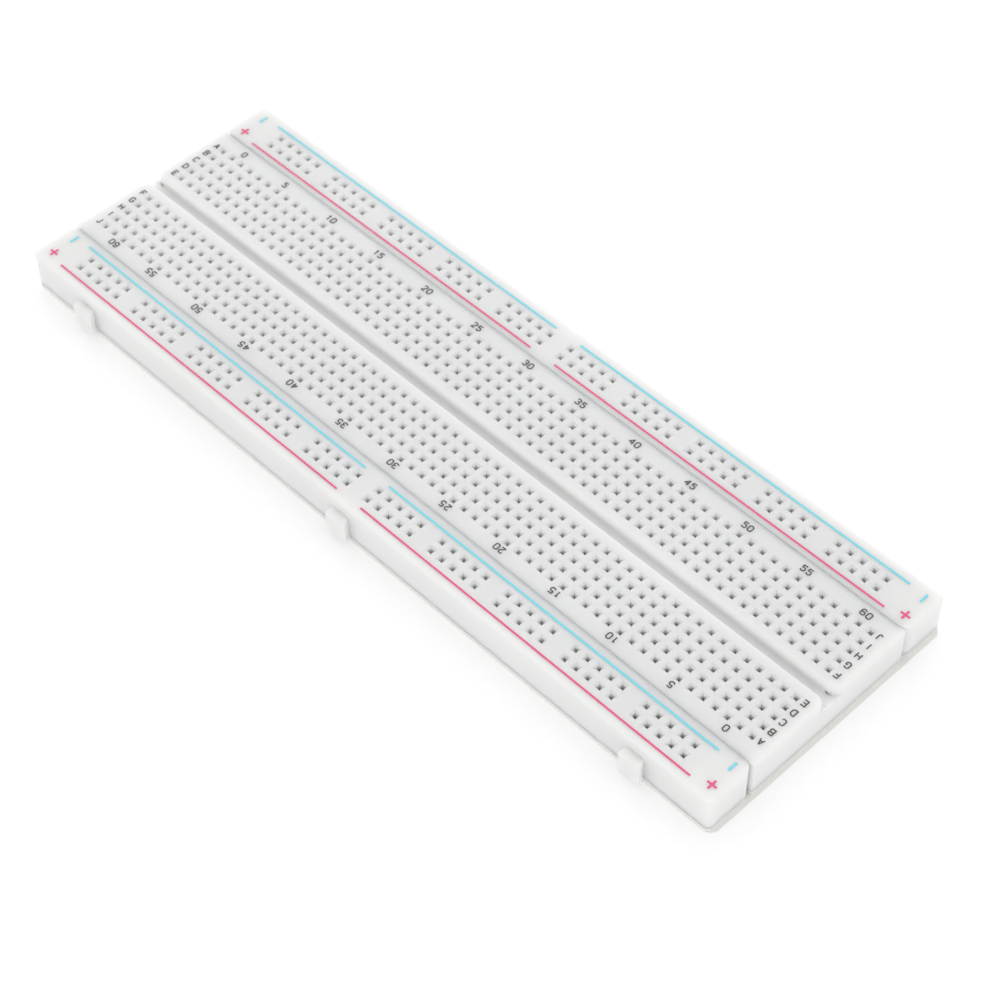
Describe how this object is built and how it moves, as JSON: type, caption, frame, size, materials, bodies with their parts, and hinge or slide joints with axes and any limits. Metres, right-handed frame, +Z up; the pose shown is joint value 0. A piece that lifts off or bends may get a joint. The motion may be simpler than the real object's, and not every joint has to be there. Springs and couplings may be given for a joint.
{
  "type": "solderless breadboard",
  "caption": "Full-size plug-in prototyping board: a terminal strip with a centre trough between two clip-on power strips, with spring clips, foam pads and a release liner.",
  "frame": {"origin": "underside of the release liner, straight below the crossing of the trough and the middle column of the terminal strip", "axes": "+X along the columns towards the end where the near edge is numbered 0, +Y across the board away from the side with the free dovetail tabs, +Z up out of the tie points"},
  "size_m": [0.1661, 0.0569, 0.0085],
  "materials": {
    "housing": "satin moulded white ABS",
    "spring_metal": "nickel-plated spring metal",
    "foam": "closed-cell adhesive foam",
    "liner": "waxed release paper",
    "black_ink": "pad-printed ink",
    "red_ink": "pad-printed ink",
    "blue_ink": "pad-printed ink"
  },
  "bodies": {
    "far_power_strip": {"far_power_housing": "housing", "far_inner_rail_left": "spring_metal", "far_inner_rail_right": "spring_metal", "far_outer_rail_left": "spring_metal", "far_outer_rail_right": "spring_metal", "far_power_foam_pad": "foam", "far_plus_print": "red_ink", "far_minus_print": "blue_ink"},
    "terminal_strip": {"terminal_housing": "housing", "terminal_clips_near": "spring_metal", "terminal_clips_far": "spring_metal", "terminal_foam_pad": "foam", "terminal_legend": "black_ink"},
    "near_power_strip": {"near_power_housing": "housing", "near_outer_rail_left": "spring_metal", "near_outer_rail_right": "spring_metal", "near_inner_rail_left": "spring_metal", "near_inner_rail_right": "spring_metal", "near_power_foam_pad": "foam", "near_plus_print": "red_ink", "near_minus_print": "blue_ink"},
    "liner": {"release_liner": "liner"}
  },
  "joints": [
    {"name": "terminal_strip_lift", "type": "slide", "parent": "far_power_strip", "child": "terminal_strip", "axis": [0, 0, 1], "range_m": [0, 0.012]},
    {"name": "near_power_strip_lift", "type": "slide", "parent": "terminal_strip", "child": "near_power_strip", "axis": [0, 0, 1], "range_m": [0, 0.012]},
    {"name": "liner_peel", "type": "slide", "parent": "far_power_strip", "child": "liner", "axis": [0, 0, -1], "range_m": [0, 0.012]}
  ]
}
